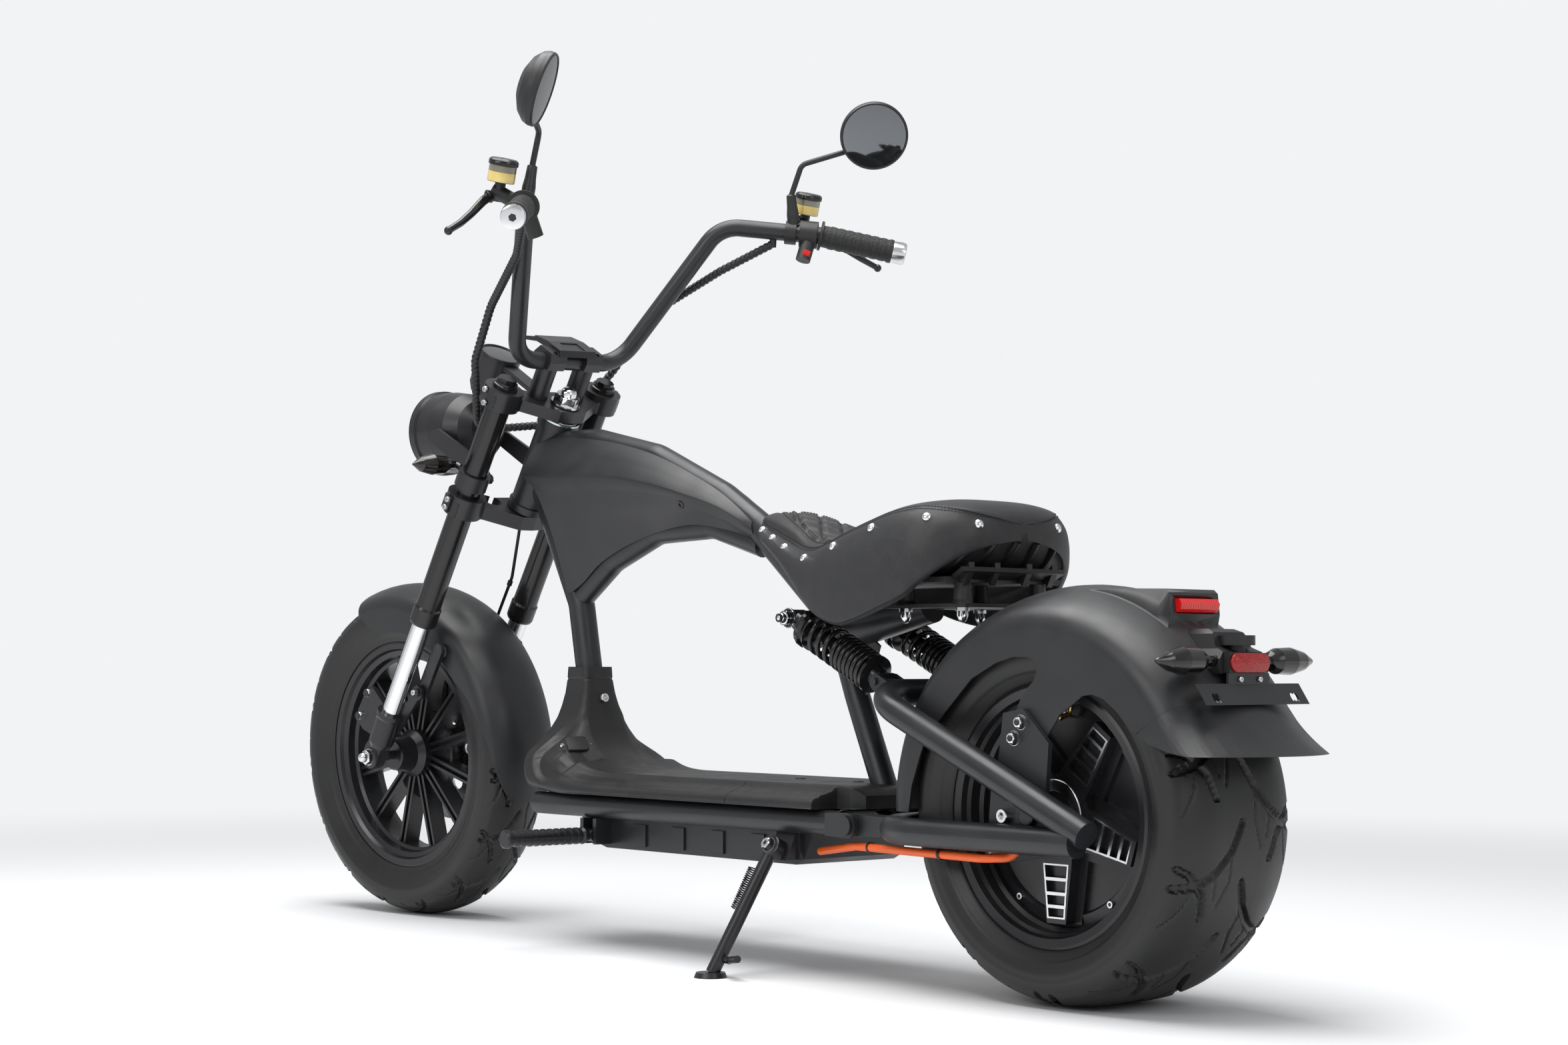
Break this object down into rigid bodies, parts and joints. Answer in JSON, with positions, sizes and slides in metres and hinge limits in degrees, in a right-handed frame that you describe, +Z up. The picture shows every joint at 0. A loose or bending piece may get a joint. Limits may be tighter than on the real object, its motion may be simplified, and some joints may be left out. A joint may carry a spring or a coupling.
{
  "type": "electric chopper scooter",
  "caption": "Electric chopper scooter on a side stand: raked fork, tall handlebar, foot deck, padded saddle, hub-motor rear wheel, turning wheels, steering, stand and foot pegs.",
  "frame": {"origin": "on the floor at the middle of the whole part's box", "axes": "+X forward, +Y to the rider's left, +Z up"},
  "size_m": [2.1266, 0.8743, 1.327],
  "materials": {
    "frame_black": "satin powder coat, black",
    "body_black": "matt black paint",
    "deck_plastic": "fine grained black plastic",
    "gloss_black": "gloss black plastic",
    "black_metal": "semi-gloss black enamel",
    "wheel_black": "satin black cast wheel",
    "chrome": "polished",
    "steel": "brushed",
    "tyre": "black road tyre rubber",
    "leather": "grained black leather",
    "grip_rubber": "ribbed soft rubber",
    "pan_plastic": "ribbed black moulding",
    "red_lens": "clear red lens",
    "smoke_lens": "smoked lens",
    "amber_cup": "clear cup with yellow brake fluid",
    "orange_jacket": "orange high-voltage jacket"
  },
  "bodies": {
    "chassis": {"head_tube": "frame_black", "backbone": "frame_black", "arch_tube": "frame_black", "down_tube": "frame_black", "side_covers": "body_black", "deck_front": "deck_plastic", "deck_rear": "deck_plastic", "battery_box": "frame_black", "frame_rails": "frame_black", "seat_stay": "frame_black", "seat_bracket": "pan_plastic", "seat_pan": "pan_plastic", "seat_pad": "leather", "shocks": "gloss_black", "shock_springs": "gloss_black", "swingarm_upper": "frame_black", "swingarm_lower": "frame_black", "rear_axle": "black_metal", "rear_fender": "body_black", "tail_lamp": "red_lens", "tail_unit": "gloss_black", "plate_bracket": "body_black", "rear_indicators": "smoke_lens", "motor_cable": "orange_jacket", "rear_caliper": "black_metal"},
    "steering": {"lower_clamp": "black_metal", "upper_clamp": "black_metal", "fork_tubes": "black_metal", "fork_stanchions": "chrome", "fork_lowers": "black_metal", "bar_clamp": "black_metal", "handlebar": "frame_black", "grips": "grip_rubber", "hand_controls": "gloss_black", "brake_levers": "black_metal", "mirrors": "gloss_black", "gauge": "gloss_black", "headlamp": "gloss_black", "front_indicators": "smoke_lens", "front_fender": "body_black", "front_caliper": "black_metal", "control_looms": "grip_rubber", "reservoirs": "amber_cup"},
    "front_wheel": {"front_tyre": "tyre", "front_rim": "wheel_black", "front_disc": "steel"},
    "rear_wheel": {"rear_tyre": "tyre", "rear_rim": "wheel_black", "hub_motor": "wheel_black", "rear_disc": "steel"},
    "side_stand": {"side_stand": "frame_black"},
    "peg_left": {"peg_left": "black_metal"},
    "peg_right": {"peg_right": "black_metal"}
  },
  "joints": [
    {"name": "steering", "type": "hinge", "parent": "chassis", "child": "steering", "pos_m": [0.75718, 0.01301, 0.25305], "axis": [-0.5284, 0, 0.849], "range_deg": [-40.4, 29.6]},
    {"name": "front_wheel_spin", "type": "hinge", "parent": "steering", "child": "front_wheel", "pos_m": [0.79014, 0.01668, 0.27357], "axis": [-0.0799, 0.9956, -0.0497], "continuous": true},
    {"name": "rear_wheel_spin", "type": "hinge", "parent": "chassis", "child": "rear_wheel", "pos_m": [-0.75971, 0.01301, 0.2384], "axis": [0, 1, 0], "continuous": true},
    {"name": "side_stand_fold", "type": "hinge", "parent": "chassis", "child": "side_stand", "pos_m": [-0.27771, 0.13901, 0.174], "axis": [0, 0.891, 0.4541], "range_deg": [0, 85]},
    {"name": "peg_left_fold", "type": "hinge", "parent": "chassis", "child": "peg_left", "pos_m": [0.15829, 0.12701, 0.169], "axis": [1, 0, 0], "range_deg": [0, 45]},
    {"name": "peg_right_fold", "type": "hinge", "parent": "chassis", "child": "peg_right", "pos_m": [0.15829, -0.10099, 0.169], "axis": [-1, 0, 0], "range_deg": [0, 45]}
  ]
}
